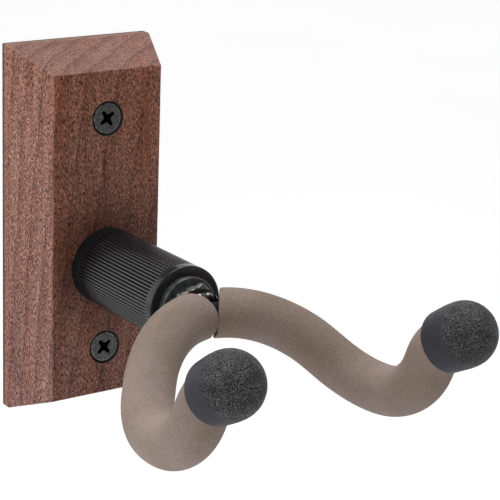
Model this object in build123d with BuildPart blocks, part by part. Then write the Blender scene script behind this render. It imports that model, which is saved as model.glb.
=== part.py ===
"""Wall guitar hanger: a bevelled hardwood block, a ribbed collar and a swivelling padded yoke.

Millimetres. The origin is the middle of the block's back face, in the plane of the wall.
+X is to the right of somebody facing the wall, +Z is up, and the hanger stands out towards -Y.
A depth is a distance out from the wall, along -Y.
"""
from build123d import *
from math import atan2, cos, degrees, radians, sin, tan
import os

# ---- Driving dimensions: wooden block ----
block_width = 43.6
block_height = 101.6
block_depth = 17.85
side_strip = 2.85  # square-edged band next to the wall
bevel_x = 5.45  # how far the long bevels come in
bevel_z = 5.75  # how far the end bevels come in
block_edge = 0.4  # softened edges

# ---- Driving dimensions: wall screws, No. 8 wood screws 1 3/4 in long ----
screw_z = 32.0  # each screw's distance from the middle
screw_length = 44.5
screw_neck_r = 2.25  # plain neck inside the block
screw_shank_r = 2.05  # behind the wall, and the thread's crests
screw_root_r = 1.45
screw_head_r = 4.1
screw_head_rim = 0.45
screw_sink = 0.24  # head below the block's face
screw_pitch = 1.7
screw_thread = 20.0  # threaded length, point excluded
screw_point = 3.2
screw_hole_r = 2.4
sink_angle = 82
sink_mouth_r = 4.72
sink_mouth_edge = 0.15
cross_width = 1.1
cross_span = 4.9
cross_depth = 2.0
cross_turn = {"upper": 36, "lower": 40}  # how far each driver cross is turned

# ---- Driving dimensions: swivel, turning about an axis parallel to Y ----
swivel_z = -8.5
collar_r = 10.5
collar_length = 39.25
rib_count = 72
rib_groove_r = 0.36
rib_groove_rise = 0.08  # the groove cutter's axis stands this far outside the collar
rib_start = 3.6  # plain band next to the block
rib_end = 2.6  # plain band at the front
collar_lip = 0.35
flange_seat_r = 7.0
collar_bore_r = 5.5
spigot_r = 7.5
nut_pocket_r = 10.0
nut_pocket_depth = 12.2

bolt_r = 3.97  # 5/16 in bolt
bolt_back = 0.6  # the bolt's threaded end, this far from the wall
hex_flats = 12.7  # the bolt's head and the nut, across their flats
bolt_head_turn = 14  # how far a corner of the head is turned up from +X
running_gap = 0.05
bush_sleeve = 9.0
bush_flange = 1.6
flange_stand = 0.1  # the front flange keeps the hub washer off the collar
rear_flange_r = 9.0
washer_r = 8.7
washer_bore_r = 4.1
washer_thickness = 1.6
spring_height = 1.4
spring_thickness = 0.8
nut_washer_thickness = 1.2
nut_height = 5.5
hex_face_inset = 0.2  # the flat end of a hexagon stops this far inside its flats
bolt_end_chamfer = 0.6
insert_height = 1.5
insert_r = 5.3
insert_lip = 0.4

hub_washer_r = 8.0
hub_washer_thickness = 1.7
hub_washer_edge = 0.35
weld_r = 1.9
weld_span = 5.0  # straight length of each bead, ends excluded
weld_rise = 3.3  # each bead's height above or below the rod's axis

# ---- Driving dimensions: padded yoke, 1/4 in rod in 1/2 in foam tube ----
rod_r = 3.175
foam_r = 6.35
hub_depth = 65.5
# Right arm's corners from the hub: (across, further out from the wall, up)
arm_corners = [(18.0, 5.9, -0.1), (31.4, 22.9, -15.5), (33.7, 43.5, -14.8), (32.9, 50.9, 2.2), (33.4, 59.9, 7.7)]
arm_bends = [33.0, 18.5, 18.5, 12.0]  # bend radii at all but the last corner
hub_bend = 10.0
head_gap = 0.04  # between the bolt's head and the rod, bridged by the weld
foam_gap = 0.05
foam_start = 4.0  # where the slanted inner cut crosses the rod's axis
foam_cut_angle = 35  # the inner cut's tilt, clearing the weld behind it
cap_r = 8.1
cap_rim_r = 7.75
cap_back = 7.2  # from the dome's centre back to the rim
cap_rim_round = 0.7
cap_mouth = 3.0  # how deep the foam sits in the cap
cap_mouth_r = 6.4

os.makedirs("parts", exist_ok=True)

front_plane = Plane.XZ.offset(block_depth)
# Profiles of turned pieces are drawn as (radius, depth) on this plane
turning_plane = Plane(origin=(0, 0, swivel_z), x_dir=(1, 0, 0), z_dir=(0, 0, -1))
swivel_axis = Axis((0, 0, swivel_z), (0, 1, 0))

# Depths of the stack that the lock nut clamps, from the block out and from the block in
collar_front = block_depth + collar_length
front_flange_back = collar_front + flange_stand - bush_flange
hub_washer_back = collar_front + flange_stand
bolt_head_back = hub_washer_back + hub_washer_thickness
rear_flange_back = nut_pocket_depth - bush_flange
washer_back = rear_flange_back - washer_thickness
spring_back = washer_back - spring_height
nut_washer_back = spring_back - nut_washer_thickness
nut_back = nut_washer_back - nut_height

# Hexagons: both are the same size across their flats, with 30 degree chamfers on their corners
hex_face_r = hex_flats / 2 - hex_face_inset
hex_chamfer = tan(radians(30))


def finish(piece, label):
    """Name a finished piece and write it to its own file."""
    piece.part.label = label
    export_step(piece.part, f"parts/{label}.step")


def turned(outline):
    """A piece turned about the swivel axis from its closed (radius, depth) outline."""
    with BuildPart() as piece:
        with BuildSketch(turning_plane):
            with BuildLine():
                Polyline(*outline, close=True)
            make_face()
        revolve(axis=swivel_axis)
    return piece


def washer(inner_r, outer_r, back, front):
    """A plain flat washer between two depths."""
    return turned([(inner_r, back), (outer_r, back), (outer_r, front), (inner_r, front)])


# ---- Wooden block: bevelled on all four sides, bored for the swivel and the screws ----
with BuildPart() as base_block:
    with BuildSketch(Plane.XZ):
        Rectangle(block_width, block_height)
    extrude(amount=side_strip)
    with BuildSketch(Plane.XZ.offset(side_strip)):
        Rectangle(block_width, block_height)
    with BuildSketch(front_plane):
        Rectangle(block_width - 2 * bevel_x, block_height - 2 * bevel_z)
    loft()
    back_edges = base_block.faces().sort_by(Axis.Y)[-1].edges()
    fillet(base_block.edges() - back_edges, block_edge)
    with Locations(front_plane):
        with Locations((0, screw_z), (0, -screw_z)):
            CounterSinkHole(screw_hole_r, sink_mouth_r, counter_sink_angle=sink_angle)
        with Locations((0, swivel_z)):
            Hole(spigot_r)
    with BuildSketch(Plane.XZ):
        with Locations((0, swivel_z)):
            Circle(nut_pocket_r)
    extrude(amount=nut_pocket_depth, mode=Mode.SUBTRACT)
    front_rings = base_block.edges().filter_by(GeomType.CIRCLE).group_by(Axis.Y)[0]
    chamfer(front_rings.filter_by(lambda ring: ring.radius < spigot_r), sink_mouth_edge)
finish(base_block, "base_block")


# ---- Wall screws: flat heads with a driver cross, long enough to reach the stud ----
def wall_screw(height, turn):
    """A flat-head wood screw through the block at this height, its point behind the wall."""
    head_top = block_depth - screw_sink
    cone_depth = (screw_head_r - screw_neck_r) / tan(radians(sink_angle / 2))
    cone_end = head_top - screw_head_rim - cone_depth
    point_tip = head_top - screw_length
    thread_back = point_tip + screw_point
    turns = int(screw_thread / screw_pitch)
    outline = [(0, head_top), (screw_head_r, head_top), (screw_head_r, head_top - screw_head_rim)]
    outline += [(screw_neck_r, cone_end), (screw_neck_r, 0), (screw_shank_r, 0)]
    for turn_number in range(turns, 0, -1):
        crest = thread_back + turn_number * screw_pitch
        outline += [(screw_shank_r, crest), (screw_root_r, crest - 0.3 * screw_pitch)]
        outline += [(screw_root_r, crest - 0.7 * screw_pitch)]
    outline += [(screw_shank_r, thread_back), (0, point_tip)]
    with BuildPart() as screw:
        with BuildSketch(Plane(origin=(0, 0, height), x_dir=(1, 0, 0), z_dir=(0, 0, -1))):
            with BuildLine():
                Polyline(*outline, close=True)
            make_face()
        revolve(axis=Axis((0, 0, height), (0, 1, 0)))
        with BuildSketch(Plane.XZ.offset(head_top)):
            with Locations(Location((0, height), turn)):
                Rectangle(cross_span, cross_width)
                Rectangle(cross_width, cross_span)
        extrude(amount=-cross_depth, taper=12, mode=Mode.SUBTRACT)
    return screw


finish(wall_screw(screw_z, cross_turn["upper"]), "upper_wall_screw")
finish(wall_screw(-screw_z, cross_turn["lower"]), "lower_wall_screw")

# ---- Ribbed collar: a spigot in the block, and a bore with a seat for the front bush's flange ----
with BuildPart() as swivel_collar:
    with BuildSketch(turning_plane):
        with BuildLine():
            Polyline(
                (collar_bore_r, nut_pocket_depth),
                (spigot_r, nut_pocket_depth),
                (spigot_r, block_depth),
                (collar_r, block_depth),
                (collar_r, collar_front),
                (flange_seat_r, collar_front),
                (flange_seat_r, front_flange_back),
                (collar_bore_r, front_flange_back),
                close=True,
            )
        make_face()
    revolve(axis=swivel_axis)
    front_edges = swivel_collar.edges().filter_by(GeomType.CIRCLE).group_by(Axis.Y)[0]
    chamfer(front_edges.sort_by(SortBy.RADIUS)[-1], collar_lip)
    # Rib gaps: round-bottomed grooves that run out before both ends
    with Locations(Plane.XZ.offset(block_depth + rib_start)):
        with Locations((0, swivel_z)):
            with PolarLocations(collar_r + rib_groove_rise, rib_count):
                Cylinder(
                    rib_groove_r,
                    collar_length - rib_start - rib_end,
                    align=(Align.CENTER, Align.CENTER, Align.MIN),
                    mode=Mode.SUBTRACT,
                )
finish(swivel_collar, "swivel_collar")

# ---- Nylon bushes: one pressed into each end of the collar's bore ----
front_bushing = turned(
    [
        (bolt_r + running_gap, front_flange_back - bush_sleeve),
        (collar_bore_r, front_flange_back - bush_sleeve),
        (collar_bore_r, front_flange_back),
        (flange_seat_r, front_flange_back),
        (flange_seat_r, hub_washer_back),
        (bolt_r + running_gap, hub_washer_back),
    ]
)
finish(front_bushing, "front_bushing")

rear_bushing = turned(
    [
        (bolt_r + running_gap, rear_flange_back),
        (rear_flange_r, rear_flange_back),
        (rear_flange_r, nut_pocket_depth),
        (collar_bore_r, nut_pocket_depth),
        (collar_bore_r, nut_pocket_depth + bush_sleeve),
        (bolt_r + running_gap, nut_pocket_depth + bush_sleeve),
    ]
)
finish(rear_bushing, "rear_bushing")

# ---- Hub washer: a thick steel washer under the bolt's head, bearing on the front bush ----
with BuildPart() as hub_washer:
    with BuildSketch(Plane.XZ.offset(hub_washer_back)):
        with Locations((0, swivel_z)):
            Circle(hub_washer_r)
            Circle(bolt_r, mode=Mode.SUBTRACT)
    extrude(amount=hub_washer_thickness)
    front_edges = hub_washer.edges().filter_by(GeomType.CIRCLE).group_by(Axis.Y)[0]
    fillet(front_edges.sort_by(SortBy.RADIUS)[-1], hub_washer_edge)
finish(hub_washer, "hub_washer")

# ---- Clamping stack in the block's pocket ----
finish(washer(washer_bore_r, washer_r, washer_back, rear_flange_back), "thrust_washer")

spring_washer = turned(
    [
        (washer_bore_r, spring_back),
        (washer_r, washer_back - spring_thickness),
        (washer_r, washer_back),
        (washer_bore_r, spring_back + spring_thickness),
    ]
)
finish(spring_washer, "spring_washer")

finish(washer(washer_bore_r, washer_r, nut_washer_back, spring_back), "nut_washer")

nut_hex_back = nut_back + insert_height
nut_middle = (nut_hex_back + nut_washer_back) / 2
nut_middle_r = hex_face_r + (nut_washer_back - nut_middle) / hex_chamfer
with BuildPart() as lock_nut:
    with BuildSketch(Plane.XZ.offset(nut_hex_back)):
        with Locations((0, swivel_z)):
            RegularPolygon(hex_flats / 2, 6, major_radius=False)
    extrude(amount=nut_washer_back - nut_hex_back)
    with BuildSketch(turning_plane):
        with BuildLine():
            Polyline(
                (0, nut_hex_back),
                (hex_face_r, nut_hex_back),
                (nut_middle_r, nut_middle),
                (hex_face_r, nut_washer_back),
                (0, nut_washer_back),
                close=True,
            )
        make_face()
    revolve(axis=swivel_axis, mode=Mode.INTERSECT)
    with BuildSketch(Plane.XZ.offset(nut_back)):
        with Locations((0, swivel_z)):
            Circle(insert_r + insert_lip)
    extrude(amount=insert_height)
    fillet(lock_nut.faces().sort_by(Axis.Y)[-1].edges(), insert_lip)
    with Locations(Plane.XZ.offset(nut_back)):
        with Locations((0, swivel_z)):
            Cylinder(insert_r, 2 * insert_height, mode=Mode.SUBTRACT)
            Cylinder(bolt_r, 3 * nut_height, mode=Mode.SUBTRACT)
finish(lock_nut, "lock_nut")

finish(washer(bolt_r, insert_r, nut_back + insert_lip, nut_back + insert_height), "lock_nut_insert")

# ---- Yoke: one bent rod, with a foam sleeve and an end cap on each arm ----
hub = Vector(0, -hub_depth, swivel_z)
right_arm = [hub + Vector(across, -out, up) for across, out, up in arm_corners]
left_arm = [Vector(-corner.X, corner.Y, corner.Z) for corner in right_arm]
yoke_route = [*reversed(left_arm), hub, *right_arm]
yoke_bends = [*reversed(arm_bends), hub_bend, *arm_bends]
tip = right_arm[-1]
tip_direction = (tip - right_arm[-2]).normalized()


def bent_bar(corners, bends, radius):
    """A round bar along straight runs joined by tangent arcs."""
    with BuildPart() as bar:
        with BuildLine() as route:
            FilletPolyline(*corners, radius=bends)
        with BuildSketch(Plane(origin=route.line @ 0, z_dir=route.line % 0)):
            Circle(radius)
        sweep()
    return bar


yoke_rod = bent_bar(yoke_route, yoke_bends, rod_r)
finish(yoke_rod, "yoke_rod")
foam_bore = bent_bar(yoke_route, yoke_bends, rod_r + foam_gap)

# The sleeve's inner end is cut on a slant, and its outer end sits square in the cap's mouth
arm_slope = right_arm[0] - hub
arm_angle = degrees(atan2(-arm_slope.Y, arm_slope.X))
cut_point = hub + arm_slope * (foam_start / arm_slope.X)
inner_cut = Plane(origin=cut_point, z_dir=(cos(radians(foam_cut_angle)), -sin(radians(foam_cut_angle)), 0))
outer_cut = Plane(origin=tip - tip_direction * (cap_back - cap_mouth), z_dir=tip_direction)

foam_envelope = bent_bar([hub, *right_arm], arm_bends, foam_r)
with BuildPart() as right_foam_sleeve:
    add(foam_envelope.part)
    split(bisect_by=inner_cut, keep=Keep.TOP)
    split(bisect_by=outer_cut, keep=Keep.BOTTOM)
    add(foam_bore.part, mode=Mode.SUBTRACT)
finish(right_foam_sleeve, "right_foam_sleeve")

with BuildPart() as left_foam_sleeve:
    add(mirror(right_foam_sleeve.part, about=Plane.YZ, mode=Mode.PRIVATE))
finish(left_foam_sleeve, "left_foam_sleeve")

# The cap is turned about the arm's last run, with its dome centred on the rod's end
cap_plane = Plane(origin=tip, x_dir=(1, 0, 0), z_dir=tip_direction)
cap_section = Plane(origin=tip, x_dir=cap_plane.x_dir, z_dir=-cap_plane.y_dir)
with BuildPart() as right_end_cap:
    with BuildSketch(cap_section):
        with BuildLine():
            rim = Line((cap_mouth_r, -cap_back), (cap_rim_r - cap_rim_round, -cap_back))
            corner = TangentArc(rim @ 1, (cap_rim_r, cap_rim_round - cap_back), tangent=rim % 1)
            side = Line(corner @ 1, (cap_r, -cap_r / 4))
            Line(side @ 1, (cap_r, 0))
            CenterArc((0, 0), cap_r, 0, 90)
            Polyline(
                (0, cap_r),
                (0, 0),
                (rod_r + foam_gap, 0),
                (rod_r + foam_gap, cap_mouth - cap_back),
                (cap_mouth_r, cap_mouth - cap_back),
                (cap_mouth_r, -cap_back),
            )
        make_face()
    revolve(axis=Axis(tip, tip_direction))
finish(right_end_cap, "right_end_cap")

with BuildPart() as left_end_cap:
    add(mirror(right_end_cap.part, about=Plane.YZ, mode=Mode.PRIVATE))
finish(left_end_cap, "left_end_cap")

# ---- Swivel bolt: its hex head is welded to the back of the rod, above and below ----
bolt_head_front = hub_depth + hub_bend * (1 / cos(radians(arm_angle)) - 1) - rod_r - head_gap
with BuildPart() as swivel_bolt:
    with BuildSketch(Plane.XZ.offset(bolt_head_back)):
        with Locations((0, swivel_z)):
            RegularPolygon(hex_flats / 2, 6, major_radius=False, rotation=bolt_head_turn)
    extrude(amount=bolt_head_front - bolt_head_back)
    with BuildSketch(turning_plane):
        with BuildLine():
            Polyline(
                (0, bolt_head_back),
                (hex_face_r + (bolt_head_front - bolt_head_back) / hex_chamfer, bolt_head_back),
                (hex_face_r, bolt_head_front),
                (0, bolt_head_front),
                close=True,
            )
        make_face()
    revolve(axis=swivel_axis, mode=Mode.INTERSECT)
    with BuildSketch(Plane.XZ.offset(bolt_back)):
        with Locations((0, swivel_z)):
            Circle(bolt_r)
    extrude(amount=bolt_head_back - bolt_back)
    chamfer(swivel_bolt.edges().filter_by(GeomType.CIRCLE).sort_by(Axis.Y)[-1], bolt_end_chamfer)
finish(swivel_bolt, "swivel_bolt")


def weld_bead(rise):
    """A bead of weld in the corner between the bolt's head and the rod."""
    with BuildPart() as bead:
        with Locations(Location((0, -bolt_head_front, swivel_z + rise), (0, 90, 0))):
            Cylinder(weld_r, weld_span)
        for end in (-weld_span / 2, weld_span / 2):
            with Locations((end, -bolt_head_front, swivel_z + rise)):
                Sphere(weld_r)
        split(bisect_by=Plane.XZ.offset(bolt_head_front), keep=Keep.TOP)
        add(yoke_rod.part, mode=Mode.SUBTRACT)
        add(right_foam_sleeve.part, mode=Mode.SUBTRACT)
        add(left_foam_sleeve.part, mode=Mode.SUBTRACT)
    return bead


finish(weld_bead(weld_rise), "upper_weld_bead")
finish(weld_bead(-weld_rise), "lower_weld_bead")
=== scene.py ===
"""Looks of the wall guitar hanger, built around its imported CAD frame.

Metres, +Z up, -Y out of the wall. A depth is a distance out from the wall, along -Y.
"""
import bmesh
import bpy
from math import ceil, cos, pi, radians, sin, sqrt, tan
from mathutils import Matrix, Vector, noise


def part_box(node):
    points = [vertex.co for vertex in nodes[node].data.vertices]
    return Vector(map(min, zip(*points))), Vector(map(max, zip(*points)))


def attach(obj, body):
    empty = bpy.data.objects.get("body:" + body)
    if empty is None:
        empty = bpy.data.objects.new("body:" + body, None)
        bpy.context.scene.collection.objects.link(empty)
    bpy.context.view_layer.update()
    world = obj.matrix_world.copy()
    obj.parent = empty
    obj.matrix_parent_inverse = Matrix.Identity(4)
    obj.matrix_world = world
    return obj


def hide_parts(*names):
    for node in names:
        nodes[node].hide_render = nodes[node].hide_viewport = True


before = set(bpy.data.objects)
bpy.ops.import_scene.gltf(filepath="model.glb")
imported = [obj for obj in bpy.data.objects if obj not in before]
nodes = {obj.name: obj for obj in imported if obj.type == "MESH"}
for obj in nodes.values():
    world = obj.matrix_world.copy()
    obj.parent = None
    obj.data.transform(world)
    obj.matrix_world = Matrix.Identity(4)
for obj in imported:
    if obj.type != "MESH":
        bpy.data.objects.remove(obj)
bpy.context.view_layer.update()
MM = 0.001

# ---- Places that the CAD frame gives ----
block_low, block_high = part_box("base_block")
BLOCK_DEPTH = -block_low.y
BLOCK_HALF_WIDTH = block_high.x
collar_low, collar_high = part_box("swivel_collar")
SWIVEL_Z = (collar_low.z + collar_high.z) / 2
COLLAR_R = (collar_high.x - collar_low.x) / 2
COLLAR_FRONT = -collar_low.y
POCKET_DEPTH = -collar_high.y  # floor of the nut's pocket in the block's back
HUB_WASHER_FRONT = -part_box("hub_washer")[0].y
BOLT_HEAD_FRONT = -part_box("swivel_bolt")[0].y
BOLT_END = -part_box("swivel_bolt")[1].y
SCREW_BOXES = [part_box(side + "_wall_screw") for side in ("upper", "lower")]
SCREW_HEIGHTS = [sum(corner.z for corner in box) / 2 for box in SCREW_BOXES]
SCREW_FRONT = -SCREW_BOXES[0][0].y

# ---- Shapes that both the meshes and the finishes follow ----
SIDE_STRIP = 2.85 * MM  # square-edged band of the block next to the wall
BEVEL_X = 5.45 * MM  # how far the long bevels come in
BEVEL_Z = 5.75 * MM  # how far the end bevels come in
SINK_MOUTH_R = 4.72 * MM
RIB_COUNT = 72
RIB_DEPTH = 0.36 * MM
BACK_BAND = 3.6 * MM  # plain bands of the collar, next to the block and at the front
FRONT_BAND = 2.6 * MM
RIB_RUN_OUT = 0.7 * MM


# ======== Mesh code ========
def new_object(name, vertices, faces, smooth=True):
    mesh = bpy.data.meshes.new(name)
    mesh.from_pydata([tuple(v) for v in vertices], [], faces)
    mesh.validate()
    piece = bpy.data.objects.new(name, mesh)
    bpy.context.scene.collection.objects.link(piece)
    editable = bmesh.new()
    editable.from_mesh(mesh)
    bmesh.ops.recalc_face_normals(editable, faces=editable.faces)
    editable.to_mesh(mesh)
    editable.free()
    for polygon in mesh.polygons:
        polygon.use_smooth = smooth
    return piece


def ring_faces(ring_count, per_ring, loop=False):
    """Quads between rings of vertices in turn. A loop joins the last ring to the first."""
    faces = []
    for i in range(ring_count if loop else ring_count - 1):
        a, b = i * per_ring, (i + 1) % ring_count * per_ring
        for k in range(per_ring):
            n = (k + 1) % per_ring
            faces.append((a + k, a + n, b + n, b + k))
    return faces


def rings_object(name, rings, loop=False):
    """A smooth piece from rings of points: a closed loop, or a skin with a pole at both ends."""
    per_ring = len(rings[0])
    vertices = [point for ring in rings for point in ring]
    faces = ring_faces(len(rings), per_ring, loop)
    if not loop:
        for first, pole in ((0, rings[0]), ((len(rings) - 1) * per_ring, rings[-1])):
            vertices.append(sum(pole, Vector()) / per_ring)
            centre = len(vertices) - 1
            faces += [(first + k, first + (k + 1) % per_ring, centre) for k in range(per_ring)]
    return new_object(name, vertices, faces)


def rounded_path(corners, radii, step):
    """Points along straight runs joined by tangent arcs."""
    points = [corners[0]]
    for before, corner, after, radius in zip(corners, corners[1:], corners[2:], radii):
        back = (before - corner).normalized()
        ahead = (after - corner).normalized()
        half = back.angle(ahead) / 2
        centre = corner + (back + ahead).normalized() * (radius / sin(half))
        first = corner + back * (radius / tan(half)) - centre
        last = corner + ahead * (radius / tan(half)) - centre
        turn = pi - 2 * half
        steps = max(2, ceil(turn * radius / step))
        for i in range(steps + 1):
            t = i / steps * turn
            points.append(centre + (first * sin(turn - t) + last * sin(t)) / sin(turn))
    points.append(corners[-1])
    return points


def profile(corners, radii=0.0, step=0.1):
    """A rounded outline in metres for turning, from (radius, along) corners in millimetres."""
    points = [Vector((r * MM, z * MM, 0)) for r, z in corners]
    if not isinstance(radii, (list, tuple)):
        radii = [radii] * (len(points) - 2)
    path = [points[0]]
    for i in range(1, len(points) - 1):
        if radii[i - 1]:
            path += rounded_path(points[i - 1 : i + 2], [radii[i - 1] * MM], step * MM)[1:-1]
        else:
            path.append(points[i])
    return path + [points[-1]]


def turned_rings(outline, place, count, shape=None):
    """Rings of a turned piece. shape(radius, angle, along) may change each point's radius."""
    rings = []
    for point in outline:
        ring = []
        for k in range(count):
            angle = 2 * pi * k / count
            radius = shape(point.x, angle, point.y) if shape else point.x
            ring.append(place @ Vector((radius * cos(angle), radius * sin(angle), point.y)))
        rings.append(ring)
    return rings


def out_of_wall(z):
    """Turning axis along -Y at this height: along is then the depth."""
    turn = Matrix(((1, 0, 0, 0), (0, 0, -1, 0), (0, 1, 0, 0), (0, 0, 0, 1)))
    return Matrix.Translation((0, 0, z)) @ turn


def smooth_step(low, high, value):
    t = min(1, max(0, (value - low) / (high - low)))
    return t * t * (3 - 2 * t)


def applied(piece):
    """The same piece with its modifiers applied to its mesh."""
    shape = piece.evaluated_get(bpy.context.evaluated_depsgraph_get())
    mesh = bpy.data.meshes.new_from_object(shape)
    piece.modifiers.clear()
    old = piece.data
    piece.data = mesh
    bpy.data.meshes.remove(old)
    return piece


def sharpen(piece, degrees):
    """Shade smooth, with a crease where faces meet at more than this angle."""
    editable = bmesh.new()
    editable.from_mesh(piece.data)
    for edge in editable.edges:
        if len(edge.link_faces) == 2 and edge.calc_face_angle(0) > radians(degrees):
            edge.smooth = False
    editable.to_mesh(piece.data)
    editable.free()


class Route:
    """A bent centreline, sampled evenly, with a frame that doesn't twist along it."""

    def __init__(self, points, spacing, normal):
        lengths = [0.0]
        for a, b in zip(points, points[1:]):
            lengths.append(lengths[-1] + (b - a).length)
        self.length = lengths[-1]
        count = round(self.length / spacing)
        self.spacing = self.length / count
        self.centres = []
        j = 0
        for i in range(count + 1):
            s = min(i * self.spacing, self.length)
            while j < len(points) - 2 and lengths[j + 1] < s:
                j += 1
            share = (s - lengths[j]) / (lengths[j + 1] - lengths[j])
            self.centres.append(points[j].lerp(points[j + 1], share))
        self.relax(6)
        self.normals = []
        self.tangents = []
        for i in range(count + 1):
            ahead = self.centres[min(i + 1, count)] - self.centres[max(i - 1, 0)]
            tangent = ahead.normalized()
            normal = (normal - tangent * normal.dot(tangent)).normalized()
            self.tangents.append(tangent)
            self.normals.append(normal)

    def relax(self, rounds):
        """Ease the change between straight runs and arcs."""
        for _ in range(rounds):
            inner = [
                (a + b * 2 + c) / 4
                for a, b, c in zip(self.centres, self.centres[1:], self.centres[2:])
            ]
            self.centres = [self.centres[0], *inner, self.centres[-1]]

    def at(self, s):
        """Centre, tangent, normal and second normal at this distance along."""
        position = min(max(s / self.spacing, 0), len(self.centres) - 1.001)
        i = int(position)
        share = position - i
        centre = self.centres[i].lerp(self.centres[i + 1], share)
        tangent = self.tangents[i].lerp(self.tangents[i + 1], share).normalized()
        normal = self.normals[i].lerp(self.normals[i + 1], share)
        normal = (normal - tangent * normal.dot(tangent)).normalized()
        return centre, tangent, normal, tangent.cross(normal)

    def skin(self, s, angle, radius):
        """A point at this radius and angle about the centreline."""
        centre, _, normal, second = self.at(s)
        return centre + (normal * cos(angle) + second * sin(angle)) * radius


# ======== Materials ========
class Finish:
    """One procedural material. Its methods add nodes and return what they give."""

    def __init__(self, name, **inputs):
        self.material = bpy.data.materials.new(name)
        self.material.use_nodes = True
        self.tree = self.material.node_tree
        self.shader = self.tree.nodes["Principled BSDF"]
        for label, value in inputs.items():
            self.shader.inputs[label.replace("_", " ")].default_value = value
        self.object_place = self.add("ShaderNodeTexCoord").outputs["Object"]

    def add(self, kind, settings=None, **inputs):
        node = self.tree.nodes.new(kind)
        for key, value in (settings or {}).items():
            setattr(node, key, value)
        for label, value in inputs.items():
            self.give(node.inputs[label.replace("_", " ")], value)
        return node

    def give(self, socket, value):
        if isinstance(value, bpy.types.NodeSocket):
            self.tree.links.new(value, socket)
        else:
            socket.default_value = value

    def set(self, label, value):
        self.give(self.shader.inputs[label], value)

    def place(self, scale=(1, 1, 1), turn=(0, 0, 0), shift=(0, 0, 0)):
        """Object coordinates, turned, then scaled. At 1000 a texture unit is a millimetre."""
        turned = self.object_place
        if any(turn) or any(shift):
            mapping = self.add("ShaderNodeMapping", Vector=turned, Rotation=turn, Location=shift)
            turned = mapping.outputs[0]
        return self.add("ShaderNodeMapping", Vector=turned, Scale=scale).outputs[0]

    def noise(self, place, scale=1.0, detail=2.0, rough=0.5, warp=0.0):
        node = self.add("ShaderNodeTexNoise", Vector=place, Scale=scale, Detail=detail)
        node.inputs["Roughness"].default_value = rough
        node.inputs["Distortion"].default_value = warp
        return node.outputs["Fac"]

    def cells(self, place):
        return self.add("ShaderNodeTexVoronoi", Vector=place, Scale=1.0).outputs["Distance"]

    def math(self, operation, a, b=0.0, c=None):
        node = self.add("ShaderNodeMath", {"operation": operation})
        self.give(node.inputs[0], a)
        self.give(node.inputs[1], b)
        if c is not None:
            self.give(node.inputs[2], c)
        return node.outputs[0]

    def dot(self, place, direction):
        node = self.add("ShaderNodeVectorMath", {"operation": "DOT_PRODUCT"})
        self.give(node.inputs[0], place)
        node.inputs[1].default_value = direction
        return node.outputs["Value"]

    def away_from(self, centre):
        """Distance from a line straight out of the wall at this (x, z)."""
        node = self.add("ShaderNodeVectorMath", {"operation": "DISTANCE"})
        self.give(node.inputs[0], self.place((1, 0, 1)))
        node.inputs[1].default_value = (centre[0], 0, centre[1])
        return node.outputs["Value"]

    def span(self, value, low, high, to_low=0.0, to_high=1.0, smooth=False):
        kind = "SMOOTHSTEP" if smooth else "LINEAR"
        node = self.add("ShaderNodeMapRange", {"interpolation_type": kind}, Value=value)
        ends = {"From Min": low, "From Max": high, "To Min": to_low, "To Max": to_high}
        for label, number in ends.items():
            node.inputs[label].default_value = number
        return node.outputs["Result"]

    def ramp(self, value, stops):
        """Colours along 0 to 1: stops are (place, colour)."""
        node = self.add("ShaderNodeValToRGB", Fac=value)
        points = node.color_ramp.elements
        while len(points) < len(stops):
            points.new(0.5)
        for point, (where, colour) in zip(points, stops):
            point.position = where
            point.color = (*colour, 1)
        return node.outputs["Color"]

    def mix(self, share, a, b, blend="MIX"):
        node = self.add("ShaderNodeMix", {"data_type": "RGBA", "blend_type": blend})
        for index, value in ((0, share), (6, a), (7, b)):
            if isinstance(value, tuple) and len(value) == 3:
                value = (*value, 1)
            self.give(node.inputs[index], value)
        return node.outputs[2]

    def bump(self, *layers):
        """Bumps on top of each other: each layer is (height, strength, distance in millimetres)."""
        normal = None
        for height, strength, distance in layers:
            node = self.add("ShaderNodeBump", Strength=strength, Height=height)
            node.inputs["Distance"].default_value = distance * MM
            if normal is not None:
                self.give(node.inputs["Normal"], normal)
            normal = node.outputs["Normal"]
        self.set("Normal", normal)


def paint(piece, finish):
    piece.data.materials.clear()
    piece.data.materials.append(finish.material)


# ======== Camera and stage ========
VIEW_AZIMUTH = radians(-35.673)
VIEW_ELEVATION = radians(16.947)
VIEW_ROLL = radians(2.144)
VIEW_DISTANCE = 0.52512
VIEW_ASIDE = (0.04889, -0.0087)  # camera's shift to its own right and up
LENS = 136.9  # on a 36 mm sensor


def add_camera():
    back = Vector(
        (
            sin(VIEW_AZIMUTH) * cos(VIEW_ELEVATION),
            -cos(VIEW_AZIMUTH) * cos(VIEW_ELEVATION),
            sin(VIEW_ELEVATION),
        )
    )
    level_right = Vector((cos(VIEW_AZIMUTH), sin(VIEW_AZIMUTH), 0))
    level_up = back.cross(level_right)
    right = level_right * cos(VIEW_ROLL) + level_up * sin(VIEW_ROLL)
    up = level_up * cos(VIEW_ROLL) - level_right * sin(VIEW_ROLL)
    data = bpy.data.cameras.new("camera")
    data.lens = LENS
    data.sensor_width = 36
    data.clip_start = 0.01
    data.clip_end = 50
    camera = bpy.data.objects.new("camera", data)
    turn = Matrix((right, up, back)).transposed().to_4x4()
    place = back * VIEW_DISTANCE + right * VIEW_ASIDE[0] + up * VIEW_ASIDE[1]
    camera.matrix_world = Matrix.Translation(place) @ turn
    bpy.context.scene.collection.objects.link(camera)
    bpy.context.scene.camera = camera


def add_softbox(name, place, target, size, power):
    data = bpy.data.lights.new(name, "AREA")
    data.shape = "RECTANGLE"
    data.size, data.size_y = size
    data.energy = power
    light = bpy.data.objects.new(name, data)
    light.location = place
    light.rotation_euler = (Vector(target) - Vector(place)).to_track_quat("-Z", "Y").to_euler()
    bpy.context.scene.collection.objects.link(light)


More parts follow.
